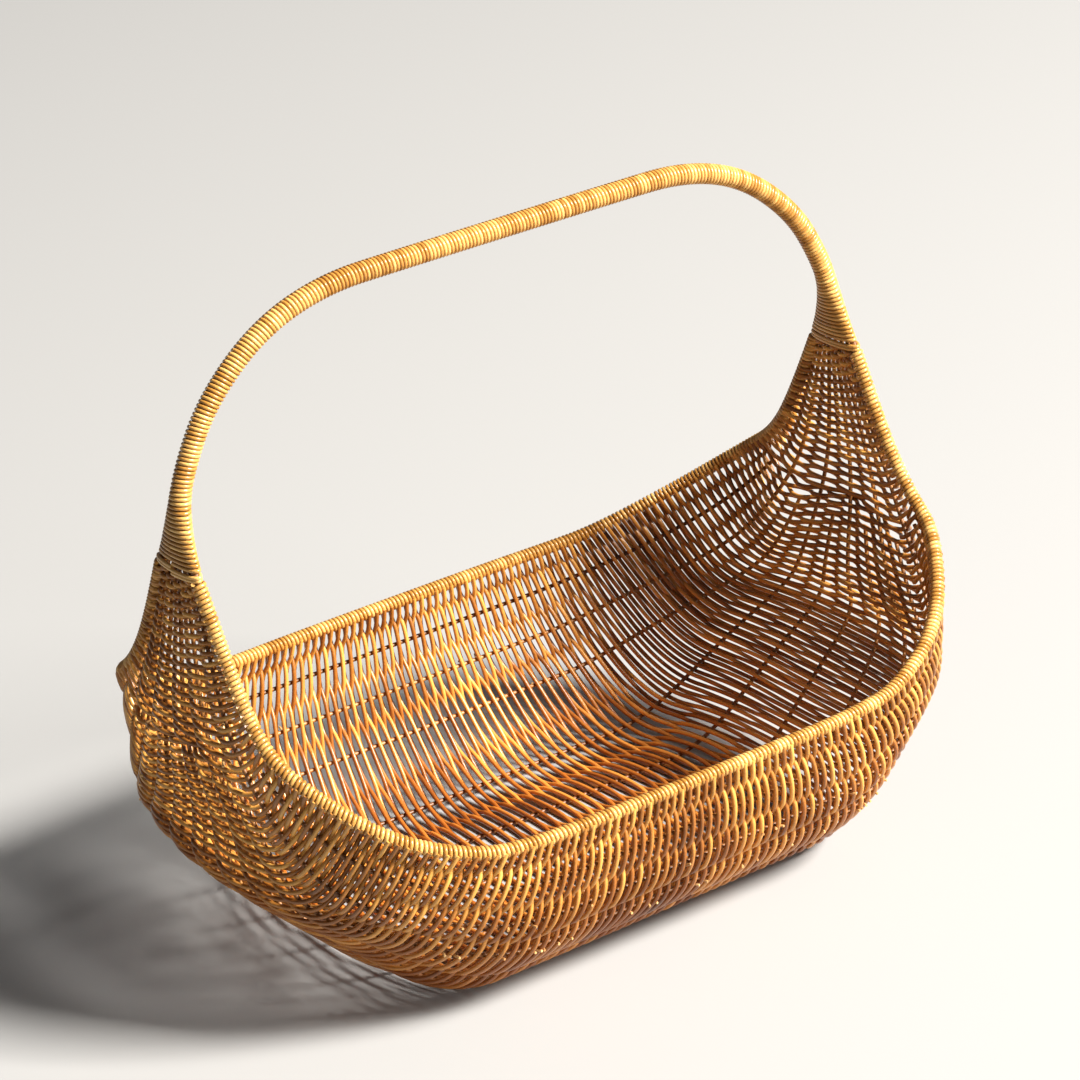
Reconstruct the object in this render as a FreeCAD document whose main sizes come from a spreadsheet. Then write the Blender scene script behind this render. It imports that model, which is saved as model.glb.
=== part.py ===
import FreeCAD, Part
import math
import os

# Rib-framed wicker basket with a fixed arched handle.
# X runs along the basket, Y across it, Z up; the origin is on the floor under the middle.

doc = FreeCAD.newDocument("wicker_basket")

# ---------------------------------------------------------------- dimensions (mm)
dims = doc.addObject("Spreadsheet::Sheet", "dims")
VALUES = [
    ("half_length", 240.0, "middle of the end wall to the middle of the basket, X"),
    ("half_width", 157.0, "centre of the side rim cane to the middle, Y"),
    ("rim_height", 118.5, "centre of the rim cane over the floor at mid length"),
    ("handle_height", 409.5, "middle of the handle grip over the floor"),
    ("leg_setback", 10.0, "top of each leg stands this far in from the end wall"),
    ("corner_rise", 56.0, "rim cane at the corners, above the rim at mid length"),
    ("rod_dia", 4.0, "edge canes and handle core cane"),
    ("rib_dia", 3.2, "lengthwise ribs"),
    ("wrap_thick", 1.8, "one layer of wrapping strand"),
    ("fit_gap", 0.15, "room between a cane and the wrap wound round it"),
    ("skin_thick", 3.4, "woven skin outside the ribs"),
    ("rib_level", 0.7, "woven skin stands this far outside the lines of the ribs"),
    ("rib_room", 1.8, "room between the ribs and the woven skin"),
    ("rim_room", 0.7, "room between the rim wrap and the woven skin"),
    ("leg_wrap_top", 318.0, "top of the close wrap on each leg"),
    ("leg_wrap_low", 277.0, "lower end of the close wrap on each leg"),
    ("split_depth", 8.0, "edge canes part this far below the top of the leg wrap"),
    ("wrap_join", 2.4, "handle wrap ends this far above the leg wrap"),
    ("rib_tuck", 7.0, "ribs end this far up inside the leg wrap"),
    ("rib_spare", 0.34, "least room between two ribs inside the leg wrap"),
    ("rib_lean", 3.0, "top of the ribs, outward of the top of the leg"),
    ("tie_tall", 3.6, "band that closes the leg wrap"),
    ("tie_thick", 2.4, "thickness of that band"),
    ("tie_gap", 0.3, "room between the leg wrap and the band"),
    ("foot_gap", 3.2, "room between the band and the woven skin below it"),
    ("leg_room", 0.8, "half depth of the hollow at the foot of the leg wrap, less one rib"),
    ("bend_near", 118.0, "handle bend next to the grip"),
    ("bend_far", 112.0, "handle bend next to the leg"),
    ("leg_length", 109.0, "from the grip down to where the leg turns upright"),
]
for row, (alias, value, note) in enumerate(VALUES, start=1):
    dims.set("A%d" % row, note)
    dims.set("B%d" % row, str(value))
    dims.setAlias("B%d" % row, alias)
doc.recompute()


def size(alias):
    return float(dims.get(alias))


HALF_L = size("half_length")
HALF_W = size("half_width")
RIM_Z = size("rim_height")
GRIP_Z = size("handle_height")
CORNER_Z = RIM_Z + size("corner_rise")
ROD_R = size("rod_dia") / 2
RIB_R = size("rib_dia") / 2
WRAP = size("wrap_thick")
GAP = size("fit_gap")
SKIN = size("skin_thick")
LEG_X = HALF_L - size("leg_setback")
BASE_Z = SKIN + size("rib_level")
LEG_BORE = size("rib_dia") + size("leg_room")
TIE_TOP_Z = size("leg_wrap_low") - size("tie_gap")
SPLIT_Z = TIE_TOP_Z - size("tie_tall") - size("foot_gap")

NODES = []


def V(x, y, z):
    return FreeCAD.Vector(x, y, z)


# ---------------------------------------------------------------- shape of the body
# Each cross line runs from the middle of the wall or floor out to the rim cane. The first is
# at the foot of the right leg, the last just right of the middle of the basket.
def cross_lines():
    long, wide = HALF_L, HALF_W
    leg_drop = SPLIT_Z - CORNER_Z
    rim_rise = CORNER_Z - RIM_Z
    centre = [
        V(0.973 * long, 0, SPLIT_Z),
        V(0.992 * long, 0, SPLIT_Z - 0.48 * leg_drop),
        V(1.010 * long, 0, CORNER_Z + 0.03 * leg_drop),
        V(0.976 * long, 0, 0.66 * CORNER_Z),
        V(1.002 * long, 0, 0.50 * CORNER_Z),
        V(0.874 * long, 0, 0.33 * CORNER_Z),
        V(0.651 * long, 0, BASE_Z),
        V(0.420 * long, 0, BASE_Z),
    ]
    rim = [
        V(0.973 * long, 0.123 * wide, SPLIT_Z),
        V(0.971 * long, 0.256 * wide, CORNER_Z + 0.553 * leg_drop),
        V(0.973 * long, 0.408 * wide, CORNER_Z + 0.19 * leg_drop),
        V(0.963 * long, 0.578 * wide, CORNER_Z),
        V(0.823 * long, 0.840 * wide, RIM_Z + 0.39 * rim_rise),
        V(0.621 * long, 0.964 * wide, RIM_Z + 0.04 * rim_rise),
        V(0.458 * long, 0.992 * wide, RIM_Z),
        V(0.298 * long, wide, RIM_Z),
    ]
    return centre, rim


# share of the way from the middle to the rim, across and up, at four kinds of cross line
FOOT = ((0.20, 0.42, 0.62, 1.0), (0.02, 0.16, 0.50, 1.0))
END = ((0.30, 0.60, 0.81, 1.0), (0.02, 0.16, 0.50, 1.0))
CORNER = ((0.35, 0.76, 0.90, 1.0), (0.00, 0.00, 0.48, 1.0))
SIDE = ((0.36, 0.66, 1.02, 1.0), (0.00, 0.00, 0.58, 1.0))
ALONG = (0.06, 0.36, 0.70, 1.0)
# between which two kinds each cross line lies, and how far on
KINDS = [(FOOT, FOOT, 0), (END, END, 0), (END, CORNER, 0.5), (CORNER, CORNER, 0),
         (CORNER, CORNER, 0), (CORNER, SIDE, 0.5), (SIDE, SIDE, 0), (SIDE, SIDE, 0)]


def mix(a, b, share):
    return a + (b - a) * share


def half_net():
    centre, rim = cross_lines()
    net = []
    for mid, edge, (near, far, share) in zip(centre, rim, KINDS):
        row = [mid]
        for k in range(4):
            across = mix(near[0][k], far[0][k], share)
            rise = mix(near[1][k], far[1][k], share)
            row.append(V(mix(mid.x, edge.x, ALONG[k]), edge.y * across, mix(mid.z, edge.z, rise)))
        net.append([V(p.x, -p.y, p.z) for p in reversed(row[1:])] + row)
    return net


def full_net(half):
    return half + [[V(-p.x, p.y, p.z) for p in row] for row in reversed(half)]


def facing(net, i, j):
    # direction that moves a net point outward so that the faces round it all move by 1 mm
    faces = []
    for di in (-1, 1):
        for dj in (-1, 1):
            if 0 <= i + di < len(net) and 0 <= j + dj < len(net[0]):
                along = (net[i + di][j] - net[i][j]) * di
                across = (net[i][j + dj] - net[i][j]) * dj
                faces.append(along.cross(across).normalize())
    total = V(0, 0, 0)
    for face in faces:
        total += face
    total.normalize()
    return total * (len(faces) / sum(total.dot(face) for face in faces))


def shifted(net, distance):
    # points of the flat floor stay level
    result = []
    for i, row in enumerate(net):
        moved = [p + facing(net, i, j) * distance for j, p in enumerate(row)]
        for p, q in zip(row, moved):
            if abs(p.z - BASE_Z) < 0.001:
                q.z = p.z - distance
        result.append(moved)
    return result


def clear_of_rim(net, room):
    result = []
    for row in net:
        first = row[0] + (row[1] - row[0]).normalize() * room
        last = row[-1] + (row[-2] - row[-1]).normalize() * room
        result.append([first] + row[1:-1] + [last])
    return result


def surface(net):
    rows, cols = len(net), len(net[0])
    surf = Part.BSplineSurface()
    surf.buildFromPolesMultsKnots(
        net, [3] + [1] * (rows - 3) + [3], [3] + [1] * (cols - 3) + [3],
        list(range(rows - 1)), list(range(cols - 1)), False, False, 2, 2)
    return surf


# ---------------------------------------------------------------- canes
def rounded_path(points, radii=None):
    # straight runs joined by tangent arcs
    edges = []
    start = points[0]
    for k in range(1, len(points) - 1):
        before = points[k - 1] - points[k]
        after = points[k + 1] - points[k]
        turn = math.pi - before.getAngle(after)
        if turn < 0.002:
            continue
        reach = 0.5 * min(before.Length, after.Length)
        if radii and radii[k]:
            reach = radii[k] * math.tan(turn / 2)
        radius = reach / math.tan(turn / 2)
        enter = points[k] + before.normalize() * reach
        leave = points[k] + after.normalize() * reach
        inward = (before + after).normalize()
        middle = points[k] + inward * (radius / math.cos(turn / 2) - radius)
        if start.distanceToPoint(enter) > 0.001:
            edges.append(Part.LineSegment(start, enter).toShape())
        edges.append(Part.Arc(enter, middle, leave).toShape())
        start = leave
    edges.append(Part.LineSegment(start, points[-1]).toShape())
    return Part.Wire(edges)


def sweep(name, path, radius_rule):
    spine = doc.addObject("Part::Feature", name + "_path")
    spine.Shape = path
    first = path.OrderedEdges[0]
    heading = first.tangentAt(first.FirstParameter)
    ring = doc.addObject("Part::Circle", name + "_ring")
    ring.setExpression("Radius", radius_rule)
    ring.Placement = FreeCAD.Placement(
        path.OrderedVertexes[0].Point, FreeCAD.Rotation(V(0, 0, 1), heading))
    tube = doc.addObject("Part::Sweep", name)
    tube.Sections = [ring]
    tube.Spine = (spine, ["Edge%d" % (k + 1) for k in range(len(path.Edges))])
    tube.Solid = True
    tube.Frenet = False
    tube.Transition = "Transformed"
    return tube


def node(obj, label):
    obj.Label = label
    NODES.append(obj)
    return obj


def plain(label, shape):
    obj = doc.addObject("Part::Feature", label)
    obj.Shape = shape
    obj.Placement = FreeCAD.Placement()
    return node(obj, label)


def hollow(label, outer, inner):
    cut = doc.addObject("Part::Cut", label)
    cut.Base = outer
    cut.Tool = inner
    return node(cut, label)


def mirrored_x(points):
    return [V(-p.x, p.y, p.z) for p in reversed(points)]


def handle_points():
    # right half of the handle outline, from the middle of the grip down into the leg
    drop = size("leg_length")
    return [
        V(0, 0, GRIP_Z),
        V(0.6125 * HALF_L, 0, GRIP_Z),
        V(LEG_X - 0.079 * HALF_L, 0, GRIP_Z - 0.42 * drop),
        V(LEG_X + 1.0, 0, GRIP_Z - drop),
    ]


def cut_at(chain, z):
    # the chain's straight leg ends at height z
    share = (chain[-2].z - z) / (chain[-2].z - chain[-1].z)
    return chain[:-1] + [mix(chain[-2], chain[-1], share)]


def offset_chain(points, distance):
    # same chain moved sideways in the XZ plane, away from the inside of the arch
    result = []
    for k, point in enumerate(points):
        sides = []
        if k > 0:
            sides.append(point - points[k - 1])
        if k < len(points) - 1:
            sides.append(points[k + 1] - point)
        normals = [V(-s.z, 0, s.x).normalize() for s in sides]
        total = normals[0] + normals[-1]
        total.normalize()
        result.append(point + total * (distance / total.dot(normals[0])))
    return result


HALF_NET = half_net()
NET = full_net(HALF_NET)
RIM = [row[-1] for row in HALF_NET]
BUNDLE_UP = ROD_R * 0.64
BUNDLE_SIDE = ROD_R + 0.05
BUNDLE_R = ROD_R * 2.18
FLARE = 0.35


def edge_rod_points():
    # right half of one edge cane: grip, leg, flare and rim
    chain = cut_at(offset_chain(handle_points(), BUNDLE_UP), LEG_TOP_Z - size("split_depth"))
    bundle = [V(p.x, BUNDLE_SIDE, p.z) for p in chain]
    flare = [RIM[0] + (RIM[0] - RIM[1]) * FLARE]
    return bundle + flare + RIM + [V(0, RIM[-1].y, RIM[-1].z)]


def edge_rod(side, name):
    # one long cane: round the opening and over the handle
    points = [V(p.x, side * p.y, p.z) for p in edge_rod_points()]
    radii = [None, size("bend_near") + BUNDLE_UP, size("bend_far") + BUNDLE_UP]
    half = sweep(name + "_right", rounded_path(points, radii + [None] * 20), "dims.rod_dia / 2")
    other = doc.addObject("Part::Mirroring", name + "_left")
    other.Source = half
    other.Normal = V(1, 0, 0)
    loop = doc.addObject("Part::Fuse", name)
    loop.Base = half
    loop.Tool = other
    return node(loop, name)


def rim_wrap(side, name):
    # strands turned round the rim cane from the foot of one leg to the foot of the other
    half = [V(p.x, side * p.y, p.z) for p in RIM]
    path = rounded_path(half + mirrored_x(half))
    outer = sweep(name + "_outside", path, "dims.rod_dia / 2 + dims.fit_gap + dims.wrap_thick")
    inner = sweep(name + "_bore", path, "dims.rod_dia / 2 + dims.fit_gap")
    return hollow(name, outer, inner)


def grip_path(distance):
    # over the handle, from the top of one leg wrap to the top of the other
    half = cut_at(offset_chain(handle_points(), distance), LEG_TOP_Z + size("wrap_join"))[1:]
    bends = [size("bend_near") + distance, size("bend_far") + distance]
    return rounded_path(mirrored_x(half) + half, [None] + bends[::-1] + bends + [None])


def handle_core(name):
    return node(sweep(name, grip_path(-1.22 * ROD_R), "dims.rod_dia / 2"), name)


def handle_wrap(name):
    path = grip_path(0.0)
    bore = "dims.rod_dia * 1.09 + dims.fit_gap"
    outer = sweep(name + "_outside", path, bore + " + dims.wrap_thick")
    inner = sweep(name + "_bore", path, bore)
    return hollow(name, outer, inner)


def stadium(centre, half_wide, half_thick):
    # rounded outline in a level plane: straight sides across Y, half-round ends
    flat = half_wide - half_thick
    left, right = -flat, flat
    p = [centre + V(half_thick, left, 0), centre + V(half_thick, right, 0),
         centre + V(0, half_wide, 0), centre + V(-half_thick, right, 0),
         centre + V(-half_thick, left, 0), centre + V(0, -half_wide, 0)]
    return Part.Wire([
        Part.LineSegment(p[0], p[1]).toShape(), Part.Arc(p[1], p[2], p[3]).toShape(),
        Part.LineSegment(p[3], p[4]).toShape(), Part.Arc(p[4], p[5], p[0]).toShape()])


def crossing(path, z):
    # where the cane passes a level plane on its leg
    points = [p for p in path.discretize(Distance=1.0) if p.x > 0 and p.z > SPLIT_Z - 5]
    near = sorted(points, key=lambda p: abs(p.z - z))[:2]
    a, b = near
    return a + (b - a) * ((z - a.z) / (b.z - a.z))


def leg_sections(path, levels, extra, thick_top, thick_low):
    wires = []
    for z in levels:
        at = crossing(path, z)
        share = (LEG_TOP_Z - z) / (LEG_TOP_Z - size("leg_wrap_low"))
        thick = mix(thick_top, thick_low, share)
        wide = max(at.y + ROD_R + GAP + 0.25 + extra, thick + 0.4)
        wires.append(stadium(V(at.x, 0, z), wide, thick))
    return wires


def leg_sleeve(side, name, outer, inner):
    shape = outer.cut(inner)
    if side < 0:
        shape = shape.mirror(V(0, 0, 0), V(1, 0, 0))
    return plain(name, shape)


def leg_wrap(side, path, name):
    levels = [mix(LEG_TOP_Z, size("leg_wrap_low"), k / 5.0) for k in range(6)]
    top, low = BUNDLE_R + GAP, LEG_BORE
    outer = Part.makeLoft(leg_sections(path, levels, WRAP, top + WRAP, low + WRAP), True)
    inner = Part.makeLoft(leg_sections(path, levels, 0.0, top, low), True)
    return leg_sleeve(side, name, outer, inner)


def leg_tie(side, path, name):
    levels = [TIE_TOP_Z, TIE_TOP_Z - size("tie_tall")]
    low, thick = LEG_BORE, size("tie_thick")
    outer = Part.makeLoft(leg_sections(path, levels, thick, low + thick, low + thick), True, True)
    inner = Part.makeLoft(leg_sections(path, levels, 0.0, low, low), True, True)
    return leg_sleeve(side, name, outer, inner)


# ---------------------------------------------------------------- woven skin
def edge_strip(near, far):
    # straight strip between two curves that share their knots
    strip = Part.BSplineSurface()
    strip.buildFromPolesMultsKnots(
        [[p, q] for p, q in zip(near.getPoles(), far.getPoles())], near.getMultiplicities(),
        [2, 2], near.getKnots(), [0, 1], False, False, near.Degree, 1)
    return strip.toShape()


def outline(surf):
    u0, u1, v0, v1 = surf.bounds()
    edges = [surf.uIso(u0), surf.uIso(u1), surf.vIso(v0), surf.vIso(v1)]
    return Part.Wire(Part.sortEdges([edge.toShape() for edge in edges])[0])


def closed_sheet(inner, outer, flat=False):
    u0, u1, v0, v1 = inner.bounds()
    if flat:
        faces = [Part.Face(outline(inner)), Part.Face(outline(outer))]
    else:
        faces = [inner.toShape(), outer.toShape()]
    faces += [edge_strip(inner.uIso(u), outer.uIso(u)) for u in (u0, u1)]
    faces += [edge_strip(inner.vIso(v), outer.vIso(v)) for v in (v0, v1)]
    shell = Part.Shell(faces)
    shell.sewShape()
    solid = Part.Solid(shell)
    if solid.Volume < 0:
        solid.reverse()
    return solid


def panel(name, span_u, span_v, flat=False):
    inner, outer = surface(SKIN_IN), surface(SKIN_OUT)
    for face in (inner, outer):
        face.segment(span_u[0], span_u[1], span_v[0], span_v[1])
    return plain(name, closed_sheet(inner, outer, flat))


# ---------------------------------------------------------------- ribs
def line_point(row, v):
    # point of the curved cross line at parameter v
    curve = Part.BSplineCurve()
    cols = len(row)
    curve.buildFromPolesMultsKnots(row, [3] + [1] * (cols - 3) + [3],
                                   list(range(cols - 1)), False, 2)
    return curve.value(v)


def rib_shares(step):
    # evenly spread on the ends, closer on the side walls than on the bottom at mid length
    even = [(k + 1) / (RIB_COUNT + 1.0) for k in range(RIB_COUNT)]
    inner = RIB_COUNT - 2 * len(SIDE_SHARES)
    low = SIDE_SHARES[-1]
    middle = [low + (1 - 2 * low) * (k + 1) / (inner + 1.0) for k in range(inner)]
    side = list(SIDE_SHARES) + middle + [1 - share for share in reversed(SIDE_SHARES)]
    reach = min(1.0, max(0.0, (step - 2.5) / 3.5))
    ease = reach * reach * (3 - 2 * reach)
    return [mix(a, b, ease) for a, b in zip(even, side)]


def params_at(row, shares):
    # parameters at given shares of the length of a cross line
    steps = 200
    span = len(row) - 2
    points = [line_point(row, span * k / steps) for k in range(steps + 1)]
    run = [0.0]
    for a, b in zip(points, points[1:]):
        run.append(run[-1] + a.distanceToPoint(b))
    result = []
    for share in shares:
        goal = run[-1] * share
        k = next(i for i, r in enumerate(run) if r >= goal)
        back = (run[k] - goal) / (run[k] - run[k - 1])
        result.append(span * (k - back) / steps)
    return result


def rib(number, name):
    # even-numbered ribs run up inside the leg wraps, odd ones start lower where the wall widens
    full = number % 2 == 0
    rows = RIB_NET if full else RIB_NET[2:]
    params = RIB_PARAMS if full else RIB_PARAMS[2:]
    half = [line_point(row, v[number - 1]) for row, v in zip(rows, params)]
    if full:
        foot = half[0]
        pitch = size("rib_dia") + size("rib_spare")
        across = pitch * (number - (RIB_COUNT + 1) / 2) / 2
        top = V(LEG_X + size("rib_lean"), across, size("leg_wrap_low") + size("rib_tuck"))
        half = [top, mix(foot, top, 0.5)] + half
    return node(sweep(name, rounded_path(half + mirrored_x(half)), "dims.rib_dia / 2"), name)


LEG_TOP_Z = size("leg_wrap_top")
SKIN_LEVEL = size("rib_level")
MID_NET = clear_of_rim(NET, ROD_R + GAP + WRAP + size("rim_room"))
SKIN_IN = shifted(MID_NET, SKIN_LEVEL)
SKIN_OUT = shifted(MID_NET, SKIN_LEVEL + SKIN)
RIB_NET = shifted(HALF_NET, SKIN_LEVEL - RIB_R - size("rib_room"))
RIB_COUNT = 11
SIDE_SHARES = (0.060, 0.120, 0.182)
RIB_PARAMS = [params_at(row, rib_shares(step)) for step, row in enumerate(RIB_NET)]

rods = [edge_rod(-1, "edge_rod_front"), edge_rod(1, "edge_rod_back")]
handle_core("handle_core")
handle_wrap("handle_wrap")
rim_wrap(-1, "rim_wrap_front")
rim_wrap(1, "rim_wrap_back")
doc.recompute()
rod_path = rods[1].Base.Spine[0].Shape
for side, end in ((-1, "left"), (1, "right")):
    leg_wrap(side, rod_path, "leg_wrap_" + end)
    leg_tie(side, rod_path, "leg_tie_" + end)
for number in range(1, RIB_COUNT + 1):
    rib(number, "rib_%02d" % number)

FLOOR_U, WALL_V = (6, 8), (2, 5)
panel("weave_leg_right", (0, 3), (0, 7))
panel("weave_leg_left", (11, 14), (0, 7))
panel("weave_end_right", (3, 6), WALL_V)
panel("weave_end_left", (8, 11), WALL_V)
panel("weave_corner_right_front", (3, 6), (0, 2))
panel("weave_corner_right_back", (3, 6), (5, 7))
panel("weave_corner_left_front", (8, 11), (0, 2))
panel("weave_corner_left_back", (8, 11), (5, 7))
panel("weave_front", FLOOR_U, (0, 2))
panel("weave_back", FLOOR_U, (5, 7))
panel("weave_floor", FLOOR_U, WALL_V, flat=True)

doc.recompute()
bad = [o.Label for o in doc.Objects if "Invalid" in o.State or "Error" in o.State]
bad += [o.Label for o in NODES if o.Shape.isNull() or not o.Shape.isValid() or o.Shape.Volume <= 0]
if bad:
    raise RuntimeError("bad objects: " + ", ".join(bad))
os.makedirs("parts", exist_ok=True)
for obj in NODES:
    obj.Shape.exportStep("parts/%s.step" % obj.Label)
print("wrote", len(NODES), "nodes")
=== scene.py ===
import math
import random

import bpy
import numpy as np
from mathutils import Matrix, Vector


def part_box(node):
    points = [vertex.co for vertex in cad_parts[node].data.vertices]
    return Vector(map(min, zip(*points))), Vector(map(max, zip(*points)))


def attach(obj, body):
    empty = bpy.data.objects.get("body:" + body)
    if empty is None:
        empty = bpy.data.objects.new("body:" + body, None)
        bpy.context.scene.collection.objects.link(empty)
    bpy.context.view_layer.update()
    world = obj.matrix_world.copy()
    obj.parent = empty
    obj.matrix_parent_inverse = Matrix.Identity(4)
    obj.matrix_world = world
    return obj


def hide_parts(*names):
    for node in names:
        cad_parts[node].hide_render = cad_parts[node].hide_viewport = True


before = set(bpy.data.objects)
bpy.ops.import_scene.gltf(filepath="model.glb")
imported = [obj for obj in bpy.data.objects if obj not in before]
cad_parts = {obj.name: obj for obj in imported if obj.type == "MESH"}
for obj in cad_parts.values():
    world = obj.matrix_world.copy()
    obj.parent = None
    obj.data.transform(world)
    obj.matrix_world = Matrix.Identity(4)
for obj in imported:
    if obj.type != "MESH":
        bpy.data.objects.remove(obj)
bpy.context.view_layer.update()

# Ribs: eleven thin round canes that run lengthwise, up one leg of the handle, down the end,
# along the side or the bottom and up the other end. Five start inside the leg wraps and six
# are let in lower down, where the weave widens. The strands are woven over and under them.

mm = 0.001
half_length = 240.0 * mm
half_width = 157.0 * mm
rim_height = 118.5 * mm
corner_height = 174.5 * mm
foot_height = 269.9 * mm
floor_level = 4.1 * mm
rib_radius = 1.30 * mm
strand_radius = 1.42 * mm


def cross_lines():
    # the shape of the body: where each line across it has its middle and its rim
    drop = foot_height - corner_height
    long, wide = half_length, half_width
    middle = [
        (0.973 * long, foot_height),
        (0.992 * long, foot_height - 0.48 * drop),
        (1.010 * long, corner_height + 0.03 * drop),
        (0.976 * long, 0.66 * corner_height),
        (1.002 * long, 0.50 * corner_height),
        (0.874 * long, 0.33 * corner_height),
        (0.651 * long, floor_level),
        (0.420 * long, floor_level),
    ]
    rise = corner_height - rim_height
    rim = [
        (0.973 * long, 0.123 * wide, foot_height),
        (0.971 * long, 0.256 * wide, corner_height + 0.553 * drop),
        (0.973 * long, 0.408 * wide, corner_height + 0.19 * drop),
        (0.963 * long, 0.578 * wide, corner_height),
        (0.823 * long, 0.840 * wide, rim_height + 0.39 * rise),
        (0.621 * long, 0.964 * wide, rim_height + 0.04 * rise),
        (0.458 * long, 0.992 * wide, rim_height),
        (0.298 * long, wide, rim_height),
    ]
    # how far across and up the points between the middle and the rim lie
    foot = np.array([(0.20, 0.42, 0.62, 1.0), (0.02, 0.16, 0.50, 1.0)])
    end = np.array([(0.30, 0.60, 0.81, 1.0), (0.02, 0.16, 0.50, 1.0)])
    corner = np.array([(0.35, 0.76, 0.90, 1.0), (0.00, 0.00, 0.48, 1.0)])
    side = np.array([(0.36, 0.66, 1.02, 1.0), (0.00, 0.00, 0.58, 1.0)])
    kinds = [foot, end, (end + corner) / 2, corner, corner, (corner + side) / 2, side, side]
    along = (0.06, 0.36, 0.70, 1.0)
    net = []
    for (mx, mz), (rx, ry, rz), (across, up) in zip(middle, rim, kinds):
        row = [(mx, 0.0, mz)]
        for k in range(4):
            row.append((mx + (rx - mx) * along[k], ry * across[k], mz + (rz - mz) * up[k]))
        net.append([(x, -y, z) for x, y, z in reversed(row[1:])] + row)
    right = np.array(net)
    return np.concatenate([right, right[::-1] * (-1, 1, 1)])


def blend_weights(count, t):
    # weights of the net's points for a smooth curve through parameter t, 0 to count - 2
    t = np.clip(np.atleast_1d(np.asarray(t, float)), 0, count - 2 - 1e-9)
    knots = np.concatenate([[0, 0], np.arange(count - 1), [count - 2] * 2]).astype(float)
    weights = np.zeros((len(t), count + 2))
    span = np.floor(t).astype(int) + 2
    weights[np.arange(len(t)), span] = 1.0
    for degree in (1, 2):
        fresh = np.zeros_like(weights)
        for i in range(count + 2 - degree):
            low = knots[i + degree] - knots[i]
            high = knots[i + degree + 1] - knots[i + 1]
            if low > 0:
                fresh[:, i] += (t - knots[i]) / low * weights[:, i]
            if high > 0:
                fresh[:, i] += (knots[i + degree + 1] - t) / high * weights[:, i + 1]
        weights = fresh
    return weights[:, :count]


body_net = cross_lines()
net_rows, net_cols = body_net.shape[:2]
last_u, last_v = net_rows - 2.0, net_cols - 2.0


def skin(u, v):
    # points of the middle of the weave
    wu, wv = blend_weights(net_rows, u), blend_weights(net_cols, v)
    return np.einsum("ni,nj,ijk->nk", wu, wv, body_net)


def skin_out(u, v):
    # direction that faces out of the basket
    step = 0.004
    u, v = np.asarray(u, float), np.asarray(v, float)
    du = skin(np.minimum(u + step, last_u), v) - skin(np.maximum(u - step, 0), v)
    dv = skin(u, np.minimum(v + step, last_v)) - skin(u, np.maximum(v - step, 0))
    out = np.cross(du, dv)
    return out / np.linalg.norm(out, axis=1)[:, None]


cross_samples = 161


def share_to_v(u, shares):
    # parameters at given shares of the length of the cross line at u
    fine = np.linspace(0, last_v, cross_samples)
    points = skin(np.full(cross_samples, u), fine)
    run = np.concatenate([[0], np.cumsum(np.linalg.norm(np.diff(points, axis=0), axis=1))])
    return np.interp(np.asarray(shares) * run[-1], run, fine), run[-1]


rib_count = 11
even_shares = np.arange(1, rib_count + 1) / (rib_count + 1.0)
side_shares = np.array([0.060, 0.120, 0.182])
floor_shares = np.linspace(side_shares[-1], 1 - side_shares[-1], 7)[1:-1]
mid_shares = np.concatenate([side_shares, floor_shares, 1 - side_shares[::-1]])
let_in_u = 1.9
end_u = 2.0
easing_u = 3.5


def rib_shares(u):
    # evenly spread on the ends, closer on the side walls than on the bottom at mid length
    reach = np.clip((min(u, last_u - u) - end_u) / easing_u, 0, 1)
    ease = reach * reach * (3 - 2 * reach)
    return even_shares + (mid_shares - even_shares) * ease


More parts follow.
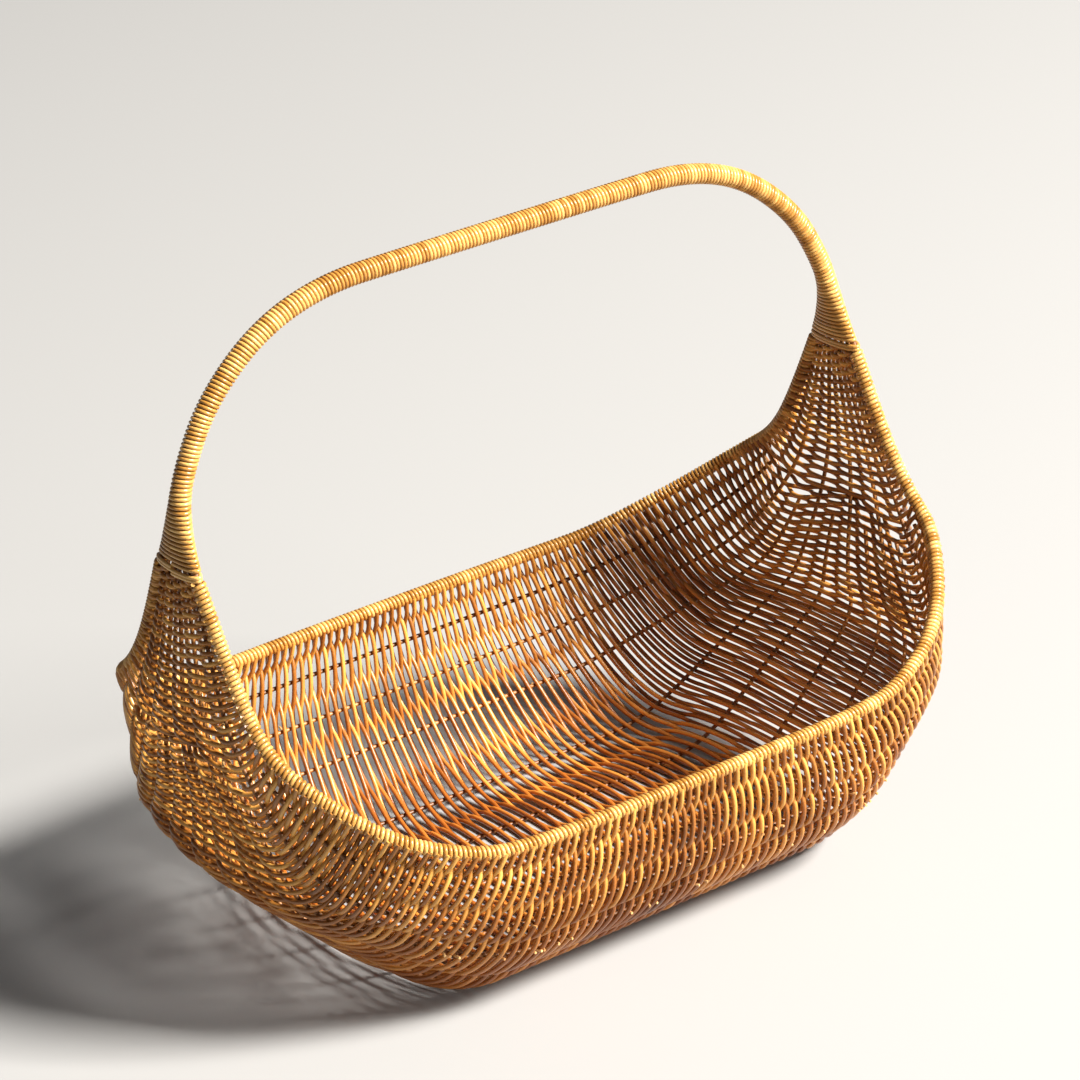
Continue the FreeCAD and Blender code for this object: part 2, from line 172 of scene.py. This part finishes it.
def strand_tree(name, material, radius, sides, seed, unevenness):
    # round strands drawn along lines: inputs hold the strand's size and how much it varies
    tree = bpy.data.node_groups.new(name, "GeometryNodeTree")
    face = tree.interface
    face.new_socket(name="Lines", in_out="INPUT", socket_type="NodeSocketGeometry")
    for label, kind, value in (("Strand Radius", "NodeSocketFloat", radius),
                               ("Sides", "NodeSocketInt", sides),
                               ("Seed", "NodeSocketInt", seed),
                               ("Unevenness", "NodeSocketFloat", unevenness)):
        face.new_socket(name=label, in_out="INPUT", socket_type=kind).default_value = value
    face.new_socket(name="Strands", in_out="OUTPUT", socket_type="NodeSocketGeometry")
    new, link = tree.nodes.new, tree.links.new
    given, result = new("NodeGroupInput"), new("NodeGroupOutput")
    to_curve = new("GeometryNodeMeshToCurve")
    link(given.outputs["Lines"], to_curve.inputs["Mesh"])
    number = new("GeometryNodeInputNamedAttribute")
    number.data_type = "INT"
    number.inputs["Name"].default_value = "strand"
    thick, tone = new("FunctionNodeRandomValue"), new("FunctionNodeRandomValue")
    least, most = new("ShaderNodeMath"), new("ShaderNodeMath")
    least.operation, most.operation = "SUBTRACT", "ADD"
    for edge in (least, most):
        edge.inputs[0].default_value = 1.0
        link(given.outputs["Unevenness"], edge.inputs[1])
    link(least.outputs[0], thick.inputs[2])
    link(most.outputs[0], thick.inputs[3])
    other_seed = new("ShaderNodeMath")
    other_seed.inputs[1].default_value = 17
    link(given.outputs["Seed"], other_seed.inputs[0])
    for node, source in ((thick, given.outputs["Seed"]), (tone, other_seed.outputs[0])):
        link(number.outputs["Attribute"], node.inputs["ID"])
        link(source, node.inputs["Seed"])
    gauge = new("GeometryNodeSetCurveRadius")
    link(to_curve.outputs["Curve"], gauge.inputs["Curve"])
    link(thick.outputs[1], gauge.inputs["Radius"])
    store = new("GeometryNodeStoreNamedAttribute")
    store.data_type, store.domain = "FLOAT", "POINT"
    store.inputs["Name"].default_value = "tone"
    link(gauge.outputs["Curve"], store.inputs["Geometry"])
    link(tone.outputs[1], store.inputs["Value"])
    ring = new("GeometryNodeCurvePrimitiveCircle")
    link(given.outputs["Sides"], ring.inputs["Resolution"])
    link(given.outputs["Strand Radius"], ring.inputs["Radius"])
    tube = new("GeometryNodeCurveToMesh")
    tube.inputs["Fill Caps"].default_value = True
    link(store.outputs["Geometry"], tube.inputs["Curve"])
    link(ring.outputs["Curve"], tube.inputs["Profile Curve"])
    smooth = new("GeometryNodeSetShadeSmooth")
    link(tube.outputs["Mesh"], smooth.inputs["Geometry"])
    real = new("GeometryNodeRealizeInstances")
    link(smooth.outputs["Geometry"], real.inputs["Geometry"])
    paint = new("GeometryNodeSetMaterial")
    paint.inputs["Material"].default_value = material
    link(real.outputs["Geometry"], paint.inputs["Geometry"])
    link(paint.outputs["Geometry"], result.inputs["Strands"])
    return tree


def strands(name, lines, material, radius, sides=6, seed=1, unevenness=0.0):
    # one plain mesh of round strands along the given lines
    points = np.concatenate(lines)
    mesh = bpy.data.meshes.new(name + "_lines")
    edges, first = [], 0
    for line in lines:
        index = np.arange(first, first + len(line) - 1)
        edges.append(np.stack([index, index + 1], axis=1))
        first += len(line)
    edges = np.concatenate(edges)
    mesh.vertices.add(len(points))
    mesh.vertices.foreach_set("co", points.astype(np.float32).ravel())
    mesh.edges.add(len(edges))
    mesh.edges.foreach_set("vertices", edges.astype(np.int32).ravel())
    number = mesh.attributes.new("strand", "INT", "POINT")
    number.data.foreach_set("value", np.concatenate(
        [np.full(len(line), k) for k, line in enumerate(lines)]).astype(np.int32))
    along = mesh.attributes.new("along", "FLOAT", "POINT")
    along.data.foreach_set("value", np.concatenate(
        [np.concatenate([[0], np.cumsum(np.linalg.norm(np.diff(line, axis=0), axis=1))])
         for line in lines]).astype(np.float32))
    mesh.update()
    carrier = bpy.data.objects.new(name + "_lines", mesh)
    bpy.context.scene.collection.objects.link(carrier)
    tree = strand_tree(name + "_strands", material, radius, sides, seed, unevenness)
    wrap = carrier.modifiers.new("strands", "NODES")
    wrap.node_group = tree
    sizes = {"Strand Radius": radius, "Sides": sides, "Seed": seed, "Unevenness": unevenness}
    for item in tree.interface.items_tree:
        if item.in_out == "INPUT" and item.name in sizes:
            wrap[item.identifier] = sizes[item.name]
    depsgraph = bpy.context.evaluated_depsgraph_get()
    shape = bpy.data.meshes.new_from_object(carrier.evaluated_get(depsgraph))
    shape.name = name
    carrier.modifiers.remove(wrap)
    bpy.data.objects.remove(carrier)
    bpy.data.meshes.remove(mesh)
    piece = bpy.data.objects.new(name, shape)
    bpy.context.scene.collection.objects.link(piece)
    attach(piece, "root")
    return piece


def cane_material(name, dark, body, light, roughness, foot=0.35, variety=1.0):
    # peeled rattan: every strand has its own tone, with long streaks and fine fibres; foot sets how
    # far the cane darkens and reddens towards the bottom, partly its own colour and partly painted
    # shade
    material = bpy.data.materials.new(name)
    material.use_nodes = True
    tree = material.node_tree
    new, link = tree.nodes.new, tree.links.new
    shader = tree.nodes["Principled BSDF"]
    tone, along = new("ShaderNodeAttribute"), new("ShaderNodeAttribute")
    tone.attribute_name, along.attribute_name = "tone", "along"
    place = new("ShaderNodeTexCoord")
    lengthwise = new("ShaderNodeCombineXYZ")
    spread, stretch = new("ShaderNodeMath"), new("ShaderNodeMath")
    spread.operation = stretch.operation = "MULTIPLY"
    spread.inputs[1].default_value = 91.0
    stretch.inputs[1].default_value = 22.0
    link(tone.outputs["Fac"], spread.inputs[0])
    link(along.outputs["Fac"], stretch.inputs[0])
    link(stretch.outputs[0], lengthwise.inputs[0])
    link(spread.outputs[0], lengthwise.inputs[1])
    streaks = new("ShaderNodeTexNoise")
    streaks.inputs["Scale"].default_value = 1.0
    streaks.inputs["Detail"].default_value = 4.0
    link(lengthwise.outputs[0], streaks.inputs["Vector"])
    fibres = new("ShaderNodeTexNoise")
    fibres.inputs["Scale"].default_value = 900.0
    fibres.inputs["Detail"].default_value = 2.0
    link(place.outputs["Object"], fibres.inputs["Vector"])
    patches = new("ShaderNodeTexNoise")
    patches.inputs["Scale"].default_value = 9.0
    patches.inputs["Detail"].default_value = 2.0
    link(place.outputs["Object"], patches.inputs["Vector"])
    calm = new("ShaderNodeMapRange")
    calm.inputs["To Min"].default_value = 0.5 - 0.5 * variety
    calm.inputs["To Max"].default_value = 0.5 + 0.5 * variety
    link(tone.outputs["Fac"], calm.inputs["Value"])
    parts = []
    for source, weight in ((calm.outputs["Result"], 0.42), (streaks.outputs["Fac"], 0.55),
                           (patches.outputs["Fac"], 0.40), (fibres.outputs["Fac"], 0.22)):
        node = new("ShaderNodeMath")
        node.operation = "MULTIPLY"
        node.inputs[1].default_value = weight
        link(source, node.inputs[0])
        parts.append(node.outputs[0])
    total = parts[0]
    for extra in parts[1:]:
        node = new("ShaderNodeMath")
        link(total, node.inputs[0])
        link(extra, node.inputs[1])
        total = node.outputs[0]
    ramp = new("ShaderNodeValToRGB")
    ramp.color_ramp.elements[0].position = 0.42
    ramp.color_ramp.elements[0].color = (*dark, 1)
    ramp.color_ramp.elements[1].position = 1.0
    ramp.color_ramp.elements[1].color = (*light, 1)
    centre = ramp.color_ramp.elements.new(0.74)
    centre.color = (*body, 1)
    link(total, ramp.inputs["Fac"])
    # the lower part of the body is a deeper, redder brown, partly the cane's own colour and partly
    # painted shade towards the floor
    low_tone_and_shade_reach, axis = new("ShaderNodeMapRange"), new("ShaderNodeSeparateXYZ")
    link(place.outputs["Object"], axis.inputs[0])
    link(axis.outputs["Z"], low_tone_and_shade_reach.inputs["Value"])
    low_tone_and_shade_reach.inputs["From Min"].default_value = 0.0
    low_tone_and_shade_reach.inputs["From Max"].default_value = 0.115
    low_tone_and_shade_reach.inputs["To Min"].default_value = foot
    low_tone_and_shade_reach.inputs["To Max"].default_value = 0.0
    low_tone_and_shade = new("ShaderNodeMix")
    low_tone_and_shade.data_type, low_tone_and_shade.blend_type = "RGBA", "MULTIPLY"
    link(low_tone_and_shade_reach.outputs["Result"], low_tone_and_shade.inputs["Factor"])
    link(ramp.outputs["Color"], low_tone_and_shade.inputs["A"])
    low_tone_and_shade.inputs["B"].default_value = (1.0, 0.60, 0.34, 1)
    link(low_tone_and_shade.outputs["Result"], shader.inputs["Base Color"])
    rough = new("ShaderNodeMapRange")
    link(streaks.outputs["Fac"], rough.inputs["Value"])
    rough.inputs["To Min"].default_value = roughness - 0.10
    rough.inputs["To Max"].default_value = roughness + 0.12
    link(rough.outputs["Result"], shader.inputs["Roughness"])
    shader.inputs["Specular IOR Level"].default_value = 0.45
    shader.inputs["Coat Weight"].default_value = 0.12
    shader.inputs["Coat Roughness"].default_value = 0.28
    bump = new("ShaderNodeBump")
    bump.inputs["Strength"].default_value = 0.35
    bump.inputs["Distance"].default_value = 0.0004
    link(fibres.outputs["Fac"], bump.inputs["Height"])
    link(bump.outputs["Normal"], shader.inputs["Normal"])
    return material


rib_cane = cane_material("rib cane", (0.07, 0.022, 0.004), (0.20, 0.078, 0.014),
                         (0.38, 0.17, 0.042), 0.50)
rib_sides = 8
rib_tip_rise = 12 * mm
rib_tip_squeeze = 0.60
rib_u = np.linspace(0, last_u, 190)
rib_v = np.array([share_to_v(u, rib_shares(u))[0] for u in rib_u])
for rib in range(rib_count):
    full = rib % 2 == 1
    kept = np.full(len(rib_u), True) if full else np.abs(rib_u - last_u / 2) < last_u / 2 - let_in_u
    line = skin(rib_u[kept], rib_v[kept, rib])
    if full:
        rise = np.array([[0.0, 0.0, rib_tip_rise]])
        pull = np.array([[1.0, rib_tip_squeeze, 1.0]])
        line = np.concatenate([line[:1] * pull + rise, line, line[-1:] * pull + rise])
    piece = strands("rib_%02d_cane" % (rib + 1), [line], rib_cane, rib_radius, rib_sides,
                    seed=rib)
    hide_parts("rib_%02d" % (rib + 1))

# Woven skin: peeled round strands worked across the basket, from one rim to the other, over one
# rib and under the next, each beside the last and the other way round. They lie level on the
# ends, fan out round the corners and stand upright on the side walls.

weave_cane = cane_material("woven cane", (0.075, 0.021, 0.003), (0.33, 0.122, 0.017),
                           (0.68, 0.35, 0.075), 0.34, foot=0.62, variety=0.8)
strand_pitch = 2.80 * mm
wave_height = rib_radius + strand_radius - 0.10 * mm
rod_radius = 2.0 * mm
wave_flatness = 0.60
strand_step = 3.6 * mm
most_lean = 0.16
most_bow = 0.14
end_length = 240 * mm
corner_length = 90 * mm
floor_looseness = 0.30

fine_samples = 1401
fine_u = np.linspace(0, last_u, fine_samples)
rim_line = skin(fine_u, np.full(fine_samples, last_v))
rim_run = np.concatenate([[0], np.cumsum(np.linalg.norm(np.diff(rim_line, axis=0), axis=1))])
mid_line = skin(fine_u, np.full(fine_samples, last_v / 2))
mid_run = np.concatenate([[0], np.cumsum(np.linalg.norm(np.diff(mid_line, axis=0), axis=1))])
pass_count = int(round(rim_run[-1] / strand_pitch))
pass_share = (np.arange(pass_count) + 0.5) / pass_count
# the passes are even along the rims; along the middle they are packed closer on the ends than
# on the bottom, so that they fan out round the corners
rim_u = np.interp(pass_share * rim_run[-1], rim_run, fine_u)
from_foot = np.minimum(mid_run, mid_run[-1] - mid_run)
on_floor = np.clip((from_foot - end_length) / corner_length, 0, 1)
packing = 1 - floor_looseness * on_floor * on_floor * (3 - 2 * on_floor)
rank = np.concatenate([[0], np.cumsum(np.diff(mid_run) * (packing[1:] + packing[:-1]) / 2)])
mid_u = np.interp(pass_share * rank[-1], rank, fine_u)

weave_random = random.Random(7)


def woven_pass(number):
    # one strand from rim to rim: over a rib, under the next, and round the edge cane at each end
    inside = let_in_u < rim_u[number] < last_u - let_in_u
    held = np.arange(rib_count) if inside else np.arange(1, rib_count, 2)
    across = (held + 1) / (rib_count + 1.0)
    # near mid length the pass stays upright on the side walls and shifts under the bottom
    late = np.interp(abs(rim_u[number] - last_u / 2), (0, 1, 2, 3), (3.2, 2.6, 1.8, 1.2))
    bend = np.sin(across * math.pi) ** late
    at_u = rim_u[number] + (mid_u[number] - rim_u[number]) * bend
    stops_u = np.concatenate([[rim_u[number]], at_u, [rim_u[number]]])
    stops_v = np.concatenate([[0.0], [np.interp(u, rib_u, rib_v[:, rib])
                                      for u, rib in zip(at_u, held)], [last_v]])
    corners = skin(stops_u, stops_v)
    length = np.linalg.norm(np.diff(corners, axis=0), axis=1)
    steps = [max(4, int(round(run / strand_step))) for run in length]
    phase = np.concatenate([np.linspace(k, k + 1, count, False)
                            for k, count in enumerate(steps)] + [[len(length)]])
    v = np.interp(phase, np.arange(len(stops_v)), stops_v)
    share = v / last_v
    swing = np.cos(phase * math.pi)
    swing = np.sign(swing) * np.abs(swing) ** wave_flatness
    if number % 2:
        swing = -swing
    lift = wave_height * swing
    first, last = phase < 0.5, phase > len(length) - 0.5
    lift[first | last] *= (rod_radius + strand_radius) / wave_height
    # no strand lies quite straight: each leans and wanders by a part of its own width
    gap = (rim_u[min(number + 1, pass_count - 1)] - rim_u[max(number - 1, 0)]) / 2
    lean = weave_random.uniform(-most_lean, most_lean)
    bow = weave_random.uniform(-most_bow, most_bow)
    turn = weave_random.uniform(0, 2 * math.pi)
    wander = (lean * (share - 0.5) + bow * np.sin(5 * share * math.pi + turn)) * gap
    smooth = np.clip(np.sin(share * math.pi), 0, 1) ** late
    u = rim_u[number] + (mid_u[number] - rim_u[number]) * smooth
    u = np.clip(u + wander * np.sin(share * math.pi), 0, last_u)
    return skin(u, v) + skin_out(u, v) * lift[:, None]


passes = [woven_pass(k) for k in range(pass_count)]
low_x, high_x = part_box("weave_floor")[0].x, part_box("weave_floor")[1].x
middle_x = np.array([p[len(p) // 2][0] for p in passes])
groups = {
    "weave_left_end": (middle_x < low_x, ("weave_leg_left", "weave_end_left",
                       "weave_corner_left_front", "weave_corner_left_back")),
    "weave_middle": ((middle_x >= low_x) & (middle_x <= high_x),
                     ("weave_front", "weave_back", "weave_floor")),
    "weave_right_end": (middle_x > high_x, ("weave_leg_right", "weave_end_right",
                        "weave_corner_right_front", "weave_corner_right_back")),
}
for seed, (name, (chosen, nodes)) in enumerate(groups.items()):
    piece = strands(name, [p for p, c in zip(passes, chosen) if c], weave_cane, strand_radius,
                    6, seed=40 + seed, unevenness=0.08)
    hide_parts(*nodes)

# Snipped ends: where one weaver gives out and the next is let in, its end is cut off short at
# a slant just outside a rib. The cut ends are paler than the peel and stand out on the side walls.

end_cane = cane_material("cut cane ends", (0.24, 0.11, 0.03), (0.46, 0.25, 0.085),
                         (0.70, 0.46, 0.20), 0.55, foot=0.2)
end_radius = 0.8 * mm
end_sink = 1.5 * mm
middle_u = 2.4
middle_chance = 0.34
corner_chance = 0.06
end_random = random.Random(23)
for side, rib in (("front", 2), ("back", 8)):
    stubs = []
    for number in range(3, pass_count - 3):
        away = abs(rim_u[number] - last_u / 2)
        if end_random.random() > (middle_chance if away < middle_u else corner_chance):
            continue
        u = np.array([mid_u[number] * 0.35 + rim_u[number] * 0.65])
        nearer_rim = -1 if side == "front" else 1
        beside = rib if end_random.random() < 0.8 else rib + nearer_rim
        v = np.interp(u, rib_u, rib_v[:, beside])
        out = skin_out(u, v)
        up = skin(u, v + 0.05 * nearer_rim) - skin(u, v)
        up /= np.linalg.norm(up)
        aside = np.cross(up, out)
        base = skin(u, v) + out * (wave_height - 0.2 * mm)
        heading = out * 0.75 + up * end_random.uniform(0.2, 0.9)
        heading += aside * end_random.uniform(-0.5, 0.5)
        reach = end_random.uniform(2.2, 3.6) * mm
        stubs.append(np.concatenate([base - heading * end_sink, base + heading * reach]))
    piece = strands("snipped_ends_" + side, stubs, end_cane, end_radius, 6, seed=50 + rib,
                    unevenness=0.2)
    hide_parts("weave_" + side)

# Rim wrap: at the end of every pass the strand is turned once round the edge cane before it
# goes back, so the rim is covered by a close coil with one turn for each pass.

wrap_cane = cane_material("wrapping cane", (0.16, 0.058, 0.008), (0.41, 0.190, 0.035),
                          (0.76, 0.47, 0.15), 0.28, foot=0.0, variety=0.5)
coil_strand = 1.28 * mm
coil_radius = rod_radius + coil_strand - 0.1 * mm
turn_steps = 12


def coil(path, out, turns, reach_out, reach_side, steps):
    # a line wound round a path, with its own reach outward and sideways at every point
    count = int(turns * steps) + 1
    t = np.linspace(0, 1, count)
    own = np.linspace(0, 1, len(path))
    centre = np.stack([np.interp(t, own, path[:, k]) for k in range(3)], axis=1)
    face = np.stack([np.interp(t, own, out[:, k]) for k in range(3)], axis=1)
    heading = np.gradient(centre, axis=0)
    heading /= np.linalg.norm(heading, axis=1)[:, None]
    face -= heading * np.sum(face * heading, axis=1)[:, None]
    face /= np.linalg.norm(face, axis=1)[:, None]
    side = np.cross(heading, face)
    angle = t * turns * 2 * math.pi
    a = np.interp(t, own, np.broadcast_to(reach_out, len(path)))
    b = np.interp(t, own, np.broadcast_to(reach_side, len(path)))
    return centre + face * (a * np.cos(angle))[:, None] + side * (b * np.sin(angle))[:, None]


def split(line, turns_each, steps):
    # cut a long coil into strands so that each has its own tone
    size = turns_each * steps
    return [line[k:k + size + 1] for k in range(0, len(line) - 1, size)]


for side, v_end in (("front", 0.0), ("back", last_v)):
    even_u = np.interp(np.linspace(0, rim_run[-1], pass_count * 2 + 1), rim_run, fine_u)
    ends = np.full(len(even_u), v_end)
    path, out = skin(even_u, ends), skin_out(even_u, ends)
    line = coil(path, out, pass_count, coil_radius, coil_radius, turn_steps)
    piece = strands("rim_%s_coil" % side, split(line, 2, turn_steps), wrap_cane, coil_strand, 6,
                    seed=60 + len(side), unevenness=0.06)
    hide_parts("rim_wrap_" + side)

# Handle: both edge canes and a third one run side by side over the top and are bound with a
# close coil of one strand. On each leg the coil grows wider as the canes spread apart.

grip_height = 409.5 * mm
grip_reach = 5.1 * mm
grip_steps = 16
leg_steps = 40
leg_coil_top = 318 * mm
leg_coil_low = 275.6 * mm
wrap_radius = 1.2 * mm
wrap_pitch = 2.46 * mm


def smooth_run(corners, count):
    # an even run of points along the smooth line that corners pull into shape
    t = np.linspace(0, len(corners) - 2, 600)
    points = blend_weights(len(corners), t) @ np.array(corners)
    run = np.concatenate([[0], np.cumsum(np.linalg.norm(np.diff(points, axis=0), axis=1))])
    even = np.linspace(0, run[-1], count)
    return np.stack([np.interp(even, run, points[:, k]) for k in range(points.shape[1])], axis=1)


arch_half = smooth_run([(0.0, grip_height), (0.3125 * half_length, grip_height),
                        (0.521 * half_length, grip_height - 0.5 * mm),
                        (0.703 * half_length, grip_height - 15 * mm),
                        (0.856 * half_length, grip_height - 47 * mm),
                        (0.934 * half_length, grip_height - 82 * mm),
                        (0.959 * half_length, grip_height - 104 * mm),
                        (0.973 * half_length, 272 * mm),
                        (0.973 * half_length, 250 * mm)], 400)
leg_start = np.argmin(np.abs(arch_half[:, 1] - leg_coil_top))
grip_half = arch_half[:leg_start + 1]
arch = np.concatenate([grip_half[::-1] * (-1, 1), grip_half[1:]])
path = np.stack([arch[:, 0], np.zeros(len(arch)), arch[:, 1]], axis=1)
slope = np.gradient(path, axis=0)
out = np.stack([-slope[:, 2], np.zeros(len(arch)), slope[:, 0]], axis=1)
out /= np.linalg.norm(out, axis=1)[:, None]
length = np.linalg.norm(np.diff(path, axis=0), axis=1).sum()
line = coil(path, out, round(length / wrap_pitch), grip_reach, grip_reach, grip_steps)
piece = strands("handle_coil", split(line, 1, grip_steps), wrap_cane, wrap_radius, 6, seed=71,
                unevenness=0.05)
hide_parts("handle_wrap")

leg_half = arch_half[leg_start:]
leg_half = leg_half[leg_half[:, 1] > leg_coil_low]
leg_heights = np.array([leg_coil_low, 285 * mm, 297 * mm, 309 * mm, leg_coil_top])
spread = np.interp(leg_half[:, 1], leg_heights, np.array([19.7, 15.1, 10.4, 6.6, 5.1]) * mm)
thick = np.interp(leg_half[:, 1], [leg_coil_low, leg_coil_top], [4.6 * mm, grip_reach])
for side, sign in (("left", -1), ("right", 1)):
    path = np.stack([leg_half[:, 0] * sign, np.zeros(len(leg_half)), leg_half[:, 1]], axis=1)
    out = np.tile((sign * 1.0, 0.0, 0.0), (len(path), 1))
    length = np.linalg.norm(np.diff(path, axis=0), axis=1).sum()
    line = coil(path, out, round(length / wrap_pitch), thick, spread, leg_steps)
    piece = strands("leg_%s_coil" % side, split(line, 1, leg_steps), wrap_cane, wrap_radius, 6,
                    seed=80 + sign, unevenness=0.06)
    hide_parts("leg_wrap_" + side)

# Ties: a strand of the same cane taken twice round the foot of each leg closes the binding.

tie_x = 233.4 * mm
tie_top = 274.6 * mm
tie_low = 270.8 * mm
tie_thick = 4.8 * mm
tie_wide = 20.8 * mm
tie_samples = 30
tie_steps = 48
for side, sign in (("left", -1), ("right", 1)):
    path = np.linspace((sign * tie_x, 0, tie_top), (sign * tie_x, 0, tie_low), tie_samples)
    out = np.tile((sign * 1.0, 0, 0), (tie_samples, 1))
    line = coil(path, out, 2, tie_thick, tie_wide, tie_steps)
    piece = strands("leg_%s_tie" % side, [line], wrap_cane, wrap_radius, 8, seed=90 + sign)
    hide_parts("leg_tie_" + side)

# Edge canes and handle core: plain round canes that show only between the turns of the wraps.

for name in ("edge_rod_front", "edge_rod_back", "handle_core"):
    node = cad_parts[name]
    node.data.materials.clear()
    node.data.materials.append(rib_cane)

# Floor, light and camera: a pale matt floor, a high soft key light from the front right and a
# weak fill light from the front.

floor_mesh = bpy.data.meshes.new("floor")
floor_mesh.from_pydata([(-6, -6, 0), (6, -6, 0), (6, 6, 0), (-6, 6, 0)], [], [(0, 1, 2, 3)])
floor = bpy.data.objects.new("floor", floor_mesh)
bpy.context.scene.collection.objects.link(floor)
paper = bpy.data.materials.new("pale floor")
paper.use_nodes = True
paper.node_tree.nodes["Principled BSDF"].inputs["Base Color"].default_value = (0.32, 0.32, 0.32, 1)
paper.node_tree.nodes["Principled BSDF"].inputs["Roughness"].default_value = 0.9
floor_mesh.materials.append(paper)

world = bpy.data.worlds.new("studio")
bpy.context.scene.world = world
world.use_nodes = True
world.node_tree.nodes["Background"].inputs["Color"].default_value = (0.96, 0.98, 1.0, 1)
world.node_tree.nodes["Background"].inputs["Strength"].default_value = 0.14


def area_light(name, place, target, size, power, colour):
    data = bpy.data.lights.new(name, "AREA")
    data.size = size
    data.energy = power
    data.color = colour
    light = bpy.data.objects.new(name, data)
    bpy.context.scene.collection.objects.link(light)
    light.location = place
    light.rotation_euler = (Vector(target) - Vector(place)).to_track_quat("-Z", "Y").to_euler()


area_light("key", (3.8, -4.9, 5.6), (0, 0, 0.12), 2.2, 2800, (1.0, 0.96, 0.90))
area_light("fill", (1.4, -3.2, 1.0), (0, 0, 0.1), 1.2, 40, (1.0, 0.96, 0.90))

turn, dip, lean = math.radians(34.06), math.radians(24.57), math.radians(-4.22)
stand = Vector((-1.2274, -1.8253, 1.2191))
ahead = Vector((math.sin(turn) * math.cos(dip), math.cos(turn) * math.cos(dip), -math.sin(dip)))
right = Vector((math.cos(turn), -math.sin(turn), 0))
up = right.cross(ahead)
tilt_right = right * math.cos(lean) + up * math.sin(lean)
tilt_up = up * math.cos(lean) - right * math.sin(lean)
lens = bpy.data.cameras.new("camera")
lens.sensor_width = 36.0
lens.lens = 137.95
lens.clip_end = 50
camera = bpy.data.objects.new("camera", lens)
bpy.context.scene.collection.objects.link(camera)
camera.matrix_world = Matrix((
    (tilt_right.x, tilt_up.x, -ahead.x, stand.x),
    (tilt_right.y, tilt_up.y, -ahead.y, stand.y),
    (tilt_right.z, tilt_up.z, -ahead.z, stand.z),
    (0, 0, 0, 1)))
bpy.context.scene.camera = camera
bpy.context.scene.view_settings.view_transform = "Standard"
